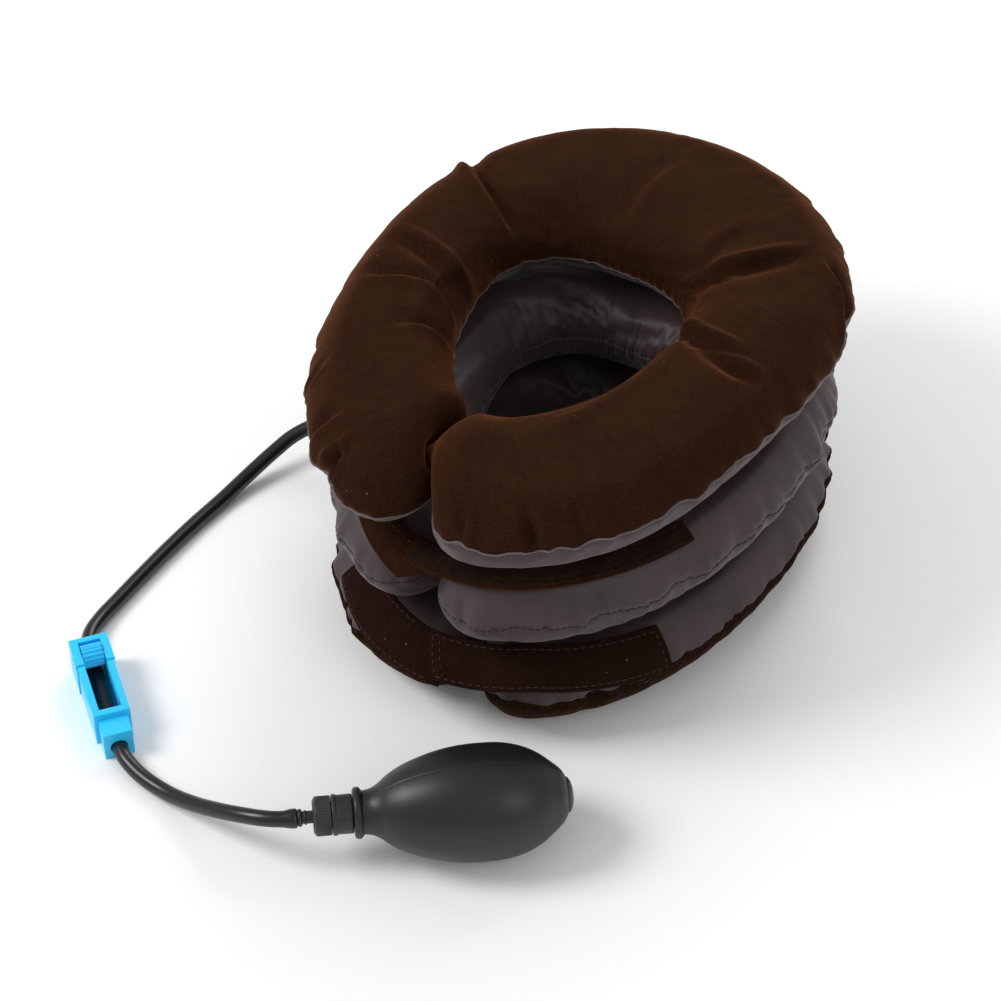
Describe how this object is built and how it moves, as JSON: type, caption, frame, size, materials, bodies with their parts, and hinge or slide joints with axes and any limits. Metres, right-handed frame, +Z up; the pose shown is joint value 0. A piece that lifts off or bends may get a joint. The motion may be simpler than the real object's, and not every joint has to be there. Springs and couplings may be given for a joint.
{
  "type": "cervical traction device",
  "caption": "Inflatable three-tier neck collar with hook-and-loop front closures, an air hose with a roller clamp, and a squeeze-bulb hand pump.",
  "frame": {"origin": "centre of the neck opening, at the level the collar stands on", "axes": "+Z up along the neck, +Y towards the nape, -Y towards the closures and the chin, +X to the right seen from the closure side"},
  "size_m": [0.2785, 0.3884, 0.1443],
  "materials": {
    "velvet": "flocked",
    "satin": "satin",
    "strap_cloth": "napped",
    "hook_tape": "hooked pile",
    "film": "smooth film",
    "black_rubber": "semi-gloss",
    "bulb_rubber": "satin",
    "blue_plastic": "moulded",
    "black_plastic": "moulded",
    "steel": "turned",
    "valve_rubber": "moulded"
  },
  "bodies": {
    "base": {"lower_tier_bottom_panel": "velvet", "lower_tier_top_panel": "satin", "lower_bladder": "film", "lower_base_tab": "strap_cloth", "lower_loop_patch": "velvet", "hose_port": "black_plastic", "hose": "black_rubber", "clamp_body": "blue_plastic", "hose_stem": "black_plastic", "stem_seal": "valve_rubber", "valve_body": "black_plastic", "tail_valve_housing": "black_plastic"},
    "middle_tier": {"middle_tier_bottom_panel": "satin", "middle_tier_top_panel": "satin", "middle_bladder": "film", "lower_air_passage": "film", "lower_seam_tape": "satin", "upper_base_tab": "strap_cloth", "upper_loop_patch": "velvet"},
    "top_tier": {"top_tier_bottom_panel": "satin", "top_bladder": "film", "upper_air_passage": "film", "upper_seam_tape": "satin"},
    "crown": {"top_tier_top_panel": "velvet"},
    "lower_strap": {"lower_strap": "strap_cloth", "lower_hook_tape": "hook_tape"},
    "upper_strap": {"upper_strap": "strap_cloth", "upper_hook_tape": "hook_tape"},
    "roller_carriage": {"clamp_roller_pin": "steel"},
    "roller": {"clamp_roller": "blue_plastic"},
    "release_collar": {"release_collar": "black_plastic"},
    "bulb": {"bulb": "bulb_rubber"},
    "outlet_disc": {"outlet_check_disc": "valve_rubber"},
    "inlet_ball": {"tail_check_ball": "steel"}
  },
  "joints": [
    {"name": "lower_tier_inflation", "type": "slide", "parent": "base", "child": "middle_tier", "axis": [0, 0, 1], "range_m": [-0.0322, 0], "stiffness_N_per_m": 800, "springref_m": 0.008, "deforming": ["lower_tier_bottom_panel", "lower_tier_top_panel", "lower_bladder", "lower_base_tab", "lower_loop_patch", "lower_strap", "lower_hook_tape"]},
    {"name": "middle_tier_inflation", "type": "slide", "parent": "middle_tier", "child": "top_tier", "axis": [0, 0, 1], "range_m": [-0.0322, 0], "deforming": ["middle_tier_bottom_panel", "middle_tier_top_panel", "middle_bladder", "upper_base_tab", "upper_loop_patch"]},
    {"name": "top_tier_inflation", "type": "slide", "parent": "top_tier", "child": "crown", "axis": [0, 0, 1], "range_m": [-0.0322, 0], "deforming": ["top_tier_bottom_panel", "top_tier_top_panel", "top_bladder"]},
    {"name": "lower_strap_peel", "type": "hinge", "parent": "base", "child": "lower_strap", "pos_m": [-0.0062, -0.1575, 0.035], "axis": [0, -0.4512, -0.8924], "range_deg": [0, 100]},
    {"name": "upper_strap_peel", "type": "hinge", "parent": "top_tier", "child": "upper_strap", "pos_m": [-0.01163, -0.15009, 0.0915], "axis": [0, 0, -1], "range_deg": [0, 100]},
    {"name": "roller_travel", "type": "slide", "parent": "base", "child": "roller_carriage", "axis": [0.7242, -0.6896, 0], "range_m": [0, 0.028]},
    {"name": "roller_spin", "type": "hinge", "parent": "roller_carriage", "child": "roller", "pos_m": [-0.14227, -0.20143, 0.0151], "axis": [0.6896, 0.7242, 0], "range_deg": [0, 310]},
    {"name": "release_collar_turn", "type": "hinge", "parent": "base", "child": "release_collar", "pos_m": [0.017, -0.229, 0.025], "axis": [0.8276, 0.5614, 0], "range_deg": [0, 180]},
    {"name": "bulb_squeeze", "type": "slide", "parent": "base", "child": "bulb", "axis": [0, 0, -1], "range_m": [0, 0.01], "stiffness_N_per_m": 600, "springref_m": -0.002, "deforming": ["bulb"]},
    {"name": "outlet_check_lift", "type": "slide", "parent": "base", "child": "outlet_disc", "axis": [-0.8276, -0.5614, 0], "range_m": [0, 0.0014]},
    {"name": "inlet_check_lift", "type": "slide", "parent": "base", "child": "inlet_ball", "axis": [-0.8276, -0.5614, 0], "range_m": [0, 0.0006]}
  ],
  "couplings": [
    {"joint": "middle_tier_inflation", "follows": "lower_tier_inflation", "ratio": 1},
    {"joint": "top_tier_inflation", "follows": "lower_tier_inflation", "ratio": 1},
    {"joint": "roller_spin", "follows": "roller_travel", "rad_per_m": 188.68},
    {"joint": "outlet_check_lift", "follows": "bulb_squeeze", "ratio": 0.14}
  ]
}
